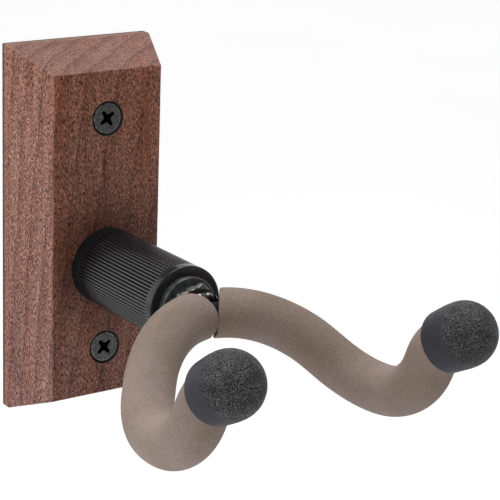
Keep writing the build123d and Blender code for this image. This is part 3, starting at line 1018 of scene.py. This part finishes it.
def weld(node):
    low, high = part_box(node)
    middle = (low + high) / 2
    above = 1 if middle.z > SWIVEL_Z else -1
    half = (high.x - low.x) / 2
    centre = Vector((0, -BOLT_HEAD_FRONT + 0.05 * MM, SWIVEL_Z + above * WELD_RISE))
    rings = []
    rows, count = 60, 40
    for i in range(rows + 1):
        share = i / rows * 2 - 1
        x = half * 0.985 * share
        rounding = sqrt(max(0.02, 1 - max(0.0, abs(x) - WELD_STRAIGHT_HALF) ** 2 / WELD_R**2))
        # Ripples lean forward, as the pool froze from one side to the other
        ring = []
        for k in range(count):
            angle = 2 * pi * k / count
            lean = 0.35 * cos(angle)
            ripple = 0.03 * sin(pi * (x / WELD_RIPPLE + lean))
            lump = 0.10 * noise.noise(Vector((x * 420, angle * 0.9, above * 3)))
            r = WELD_R * rounding * (0.93 + ripple + lump)
            ring.append(centre + Vector((x, -r * sin(angle) * 0.96, r * cos(angle) * 0.97)))
        rings.append(ring)
    piece = rings_object(node + "_rippled", rings)
    paint(piece, enamel_finish)
    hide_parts(node)
    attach(piece, "yoke")


for node in ("upper_weld_bead", "lower_weld_bead"):
    weld(node)


# ======== Foam sleeves: swept along the bent arms ========
HUB = Vector((0, -65.5, SWIVEL_Z / MM))
# Right arm's corners from the hub: (across, further out from the wall, up)
ARM_CORNERS = [
    (18.0, 5.9, -0.1),
    (31.4, 22.9, -15.5),
    (33.7, 43.5, -14.8),
    (32.9, 50.9, 2.2),
    (33.4, 59.9, 7.7),
]
ARM_BENDS = [33.0, 18.5, 18.5, 12.0]
FOAM_R = 6.35
FOAM_BORE_R = 3.23
FOAM_START = {"left": 3.5, "right": 3.68}  # where the slanted cut crosses the rod's axis
FOAM_CUT_TILT = radians(35)
CUT_BULGE = {"left": 2.0 * MM, "right": 1.2 * MM}  # how far the underside reaches past the cut
FOAM_LIFT = 0.4 * MM  # how far the foam sits up by the hub
# Rounded rim of the cut: (distance past the cut, distance inside the skin)
FOAM_RIM = [(0.0, 0.9), (0.0, 0.55), (0.05, 0.28), (0.2, 0.09), (0.45, 0.01)]
FOAM_RIM_LENGTH = 0.6
CAP_BACK = 7.2  # from the dome's centre back to the rim
CAP_MOUTH = 3.0  # how deep the foam sits in the cap
arm = [HUB] + [HUB + Vector((across, -out, up)) for across, out, up in ARM_CORNERS]
route = Route([p * MM for p in rounded_path(arm, ARM_BENDS, 0.4)], 0.5 * MM, Vector((0, 0, 1)))
cut_normal = Vector((cos(FOAM_CUT_TILT), -sin(FOAM_CUT_TILT), 0))


def cut_at(side, angle, radius):
    """How far along the arm the slanted cut meets the skin at this angle."""
    cut_point = (arm[0] + (arm[1] - arm[0]) * (FOAM_START[side] / ARM_CORNERS[0][0])) * MM
    near, far = -0.004, 0.03
    for _ in range(30):
        middle = (near + far) / 2
        past_cut = skin_beyond(middle, angle, radius) - cut_point
        fuller = CUT_BULGE[side] * smooth_step(3.5 * MM, FOAM_R * MM, -past_cut.z)
        if past_cut.dot(cut_normal) + fuller < 0:
            near = middle
        else:
            far = middle
    return (near + far) / 2


def skin_beyond(s, angle, radius):
    """The route's skin, carried on straight before its start."""
    point = route.skin(max(s, 0), angle, radius)
    return point + route.tangents[0] * min(s, 0)


def foam_swell(s, angle, seed):
    """Slow changes of the foam's radius, in metres."""
    centre = route.at(s)[0]
    slow = noise.noise(centre * 60 + Vector((seed, cos(angle) * 0.7, sin(angle) * 0.7)))
    return slow * 0.09 * MM + FOAM_LIFT * cos(angle) * smooth_step(26 * MM, 4 * MM, s)


def foam_sleeve(side):
    mirror = Matrix.Scale(-1 if side == "left" else 1, 4, (1, 0, 0))
    count, rows, bore_rows = 96, 190, 60
    foam_end = route.length - (CAP_BACK - CAP_MOUTH) * MM
    angles = [2 * pi * k / count for k in range(count)]
    seed = 3.0 if side == "left" else 11.0
    outer_cut = [cut_at(side, angle, FOAM_R * MM) for angle in angles]
    bore_cut = [cut_at(side, angle, FOAM_BORE_R * MM) for angle in angles]
    rings = []
    for past, inside in FOAM_RIM:
        ring = []
        for angle, start in zip(angles, outer_cut):
            radius = (FOAM_R - inside) * MM
            inner_start = cut_at(side, angle, radius) if inside > 0.3 else start
            radius += foam_swell(0, angle, seed)
            ring.append(skin_beyond(inner_start + past * MM, angle, radius))
        rings.append(ring)
    for i in range(1, rows + 1):
        ring = []
        for angle, start in zip(angles, outer_cut):
            past_rim = start + FOAM_RIM_LENGTH * MM
            s = past_rim + (foam_end - past_rim) * (i - 1) / (rows - 1)
            radius = FOAM_R * MM + foam_swell(s, angle, seed)
            ring.append(skin_beyond(s, angle, radius))
        rings.append(ring)
    rings.append([skin_beyond(foam_end, angle, FOAM_BORE_R * MM) for angle in angles])
    for i in range(1, bore_rows + 1):
        share = i / bore_rows
        rings.append(
            [
                skin_beyond(foam_end + (start - foam_end) * share, angle, FOAM_BORE_R * MM)
                for angle, start in zip(angles, bore_cut)
            ]
        )
    rings = [[mirror @ point for point in ring] for ring in rings]
    piece = rings_object(side + "_foam_tube", rings, loop=True)
    sharpen(piece, 60)
    paint(piece, foam_finish)
    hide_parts(side + "_foam_sleeve")
    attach(piece, "yoke")


# ======== End caps: a pebbled dome on a plainer, slightly narrower skirt ========
CAP_R = 8.1
CAP_RIM_R = 7.75
CAP_MOUTH_R = 6.4
CAP_ROWS = 90  # round the dome


def end_cap(side):
    mirror = Matrix.Scale(-1 if side == "left" else 1, 4, (1, 0, 0))
    tip = arm[-1] * MM
    along = (arm[-1] - arm[-2]).normalized()
    aside = Vector((0, 0, 1)).cross(along).normalized()
    turn = Matrix((aside, along.cross(aside), along)).transposed().to_4x4()
    place = Matrix.Translation(tip) @ turn
    floor = CAP_MOUTH - CAP_BACK
    skirt = profile(
        [
            (FOAM_BORE_R, 0), (FOAM_BORE_R, floor), (CAP_MOUTH_R, floor),
            (CAP_MOUTH_R, -CAP_BACK), (CAP_RIM_R, -CAP_BACK), (CAP_R, -2.0),
        ],
        [0, 0, 0.15, 0.65],
        0.06,
    )
    start = skirt[-1]
    skirt += [start.lerp(Vector((CAP_R, 0, 0)) * MM, i / 8) for i in range(1, 8)]
    start_skirt = [skirt[0].lerp(skirt[1], i / 12) for i in range(12)]
    steps = [i / CAP_ROWS * pi / 2 for i in range(CAP_ROWS)]
    dome = [Vector((cos(angle), sin(angle), 0)) * CAP_R * MM for angle in steps]
    outline = [Vector((0.5 * MM, 0, 0))] + start_skirt + skirt[1:] + dome

    count = 300
    rings = []
    for point in outline:
        ring = []
        for k in range(count):
            angle = 2 * pi * k / count
            where = Vector((point.x * cos(angle), point.x * sin(angle), point.y))
            if point.x > 6.9 * MM or point.y > 0.1 * MM:
                outward = Vector((where.x, where.y, max(0.0, where.z))).normalized()
                pebbles = smooth_step(-3.0 * MM, 0.5 * MM, point.y)
                fine = noise.noise(where * 1500 + Vector((7, 3, 1)))
                coarse = noise.noise(where * 120)
                fine *= 0.035 * (0.25 + 0.75 * pebbles)
                where = where + outward * (fine + coarse * 0.05 - 0.04) * MM
            ring.append(mirror @ (place @ where))
        rings.append(ring)
    piece = rings_object(side + "_cap_moulded", rings)
    sharpen(piece, 60)
    paint(piece, cap_rubber(side, mirror @ along, along.dot(tip) + 1.0 * MM))
    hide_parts(side + "_end_cap")
    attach(piece, "yoke")


for side in ("left", "right"):
    foam_sleeve(side)
    end_cap(side)
